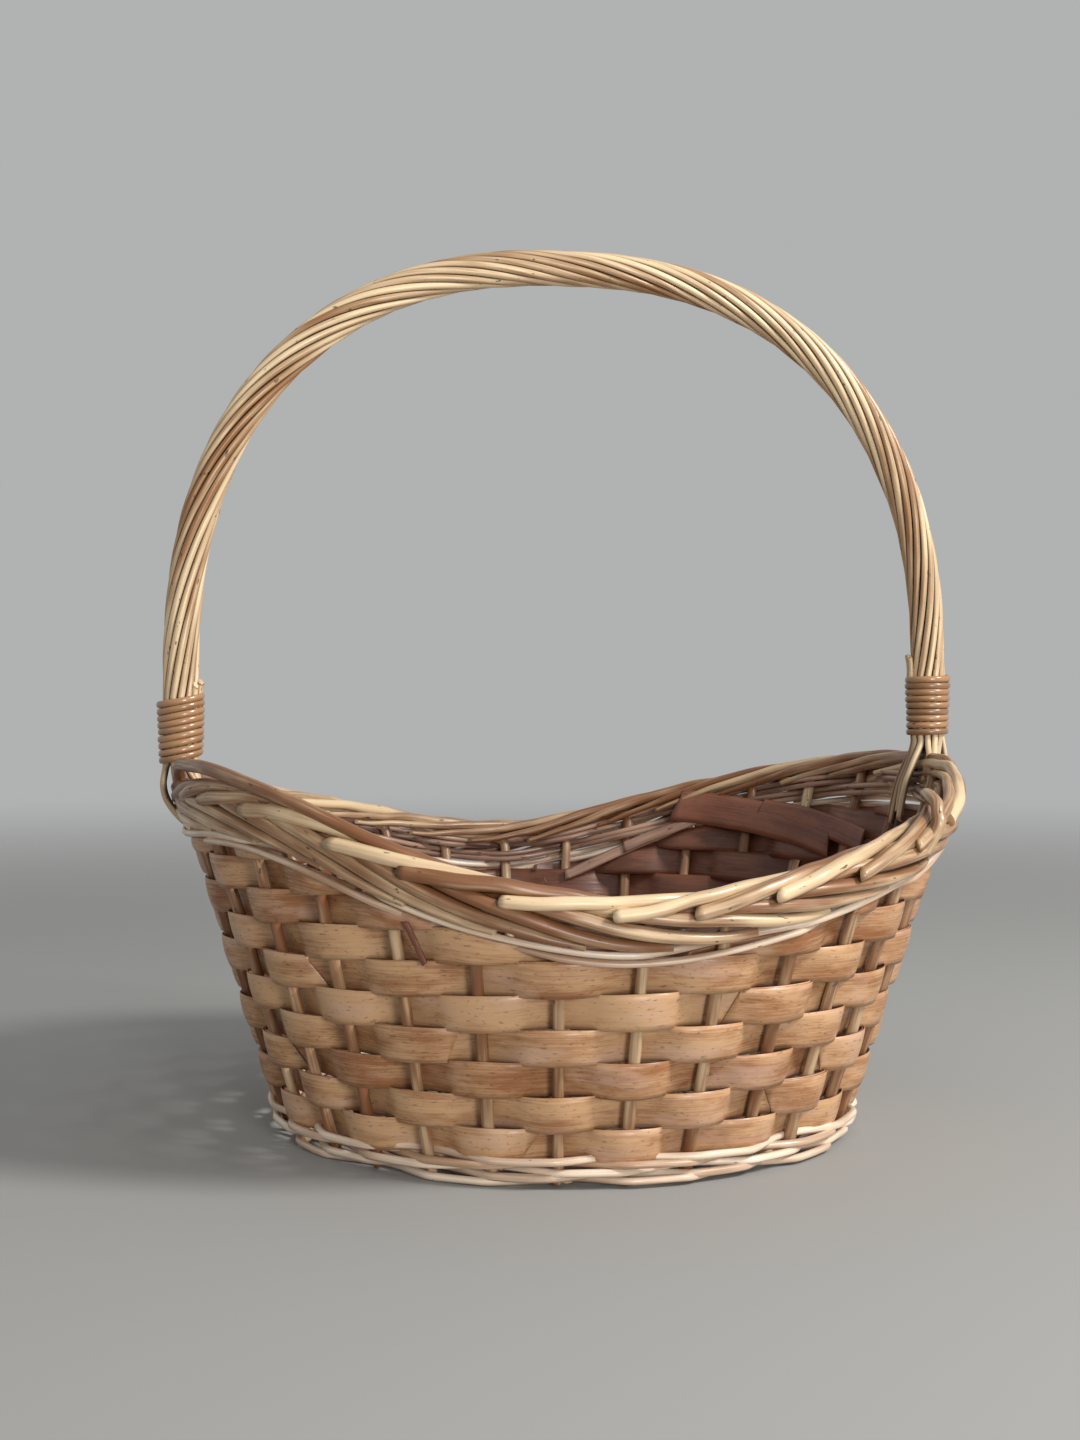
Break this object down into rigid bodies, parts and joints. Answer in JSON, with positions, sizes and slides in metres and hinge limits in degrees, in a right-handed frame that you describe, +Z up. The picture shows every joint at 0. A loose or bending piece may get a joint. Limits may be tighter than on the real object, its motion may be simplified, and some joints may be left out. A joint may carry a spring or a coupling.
{
  "type": "easter basket",
  "caption": "Round willow and wood-splint basket with a dipping rim, a folded rod border and a fixed twisted arch handle.",
  "frame": {"origin": "middle of the basket on the ground, under the handle", "axes": "+Z up, +X through the handle's feet, -Y the front"},
  "size_m": [0.4082, 0.3894, 0.4279],
  "materials": {
    "stake": "brown willow rod, satin",
    "splint": "flat sliced wood splint, dull, fine lengthwise grain",
    "weaver": "thin peeled willow, pale, dull",
    "border": "golden-brown willow rod, satin",
    "handle": "straw-coloured willow rod, satin",
    "lashing": "brown varnished cane, glossy",
    "base": "brown wood splint, dull"
  },
  "bodies": {
    "root": {"stake_01": "stake", "stake_02": "stake", "stake_03": "stake", "stake_04": "stake", "stake_05": "stake", "stake_06": "stake", "stake_07": "stake", "stake_08": "stake", "stake_09": "stake", "stake_10": "stake", "stake_11": "stake", "stake_12": "stake", "stake_13": "stake", "stake_14": "stake", "stake_15": "stake", "stake_16": "stake", "stake_17": "stake", "stake_18": "stake", "stake_19": "stake", "stake_20": "stake", "stake_21": "stake", "stake_22": "stake", "stake_23": "stake", "stake_24": "stake", "stake_25": "stake", "stake_26": "stake", "stake_27": "stake", "stake_28": "stake", "stake_29": "stake", "stake_30": "stake", "splint_row_1": "splint", "splint_row_2": "splint", "splint_row_3": "splint", "splint_row_4": "splint", "splint_row_5": "splint", "splint_row_6": "splint", "short_splint_right_1": "splint", "short_splint_right_2": "splint", "short_splint_right_3": "splint", "short_splint_left_1": "splint", "short_splint_left_2": "splint", "short_splint_left_3": "splint", "rim_weaver_1": "weaver", "rim_weaver_2": "weaver", "foot_weaver_1": "weaver", "foot_weaver_2": "weaver", "foot_hoop": "weaver", "border_inner_hoop": "border", "base_panel": "base", "base_stick_front": "stake", "base_stick_back": "stake", "handle_core": "handle", "handle_rod_1": "handle", "handle_rod_2": "handle", "handle_rod_3": "handle", "handle_rod_4": "handle", "handle_rod_5": "handle", "handle_rod_6": "handle", "lashing_right": "lashing", "lashing_left": "lashing"}
  },
  "joints": []
}
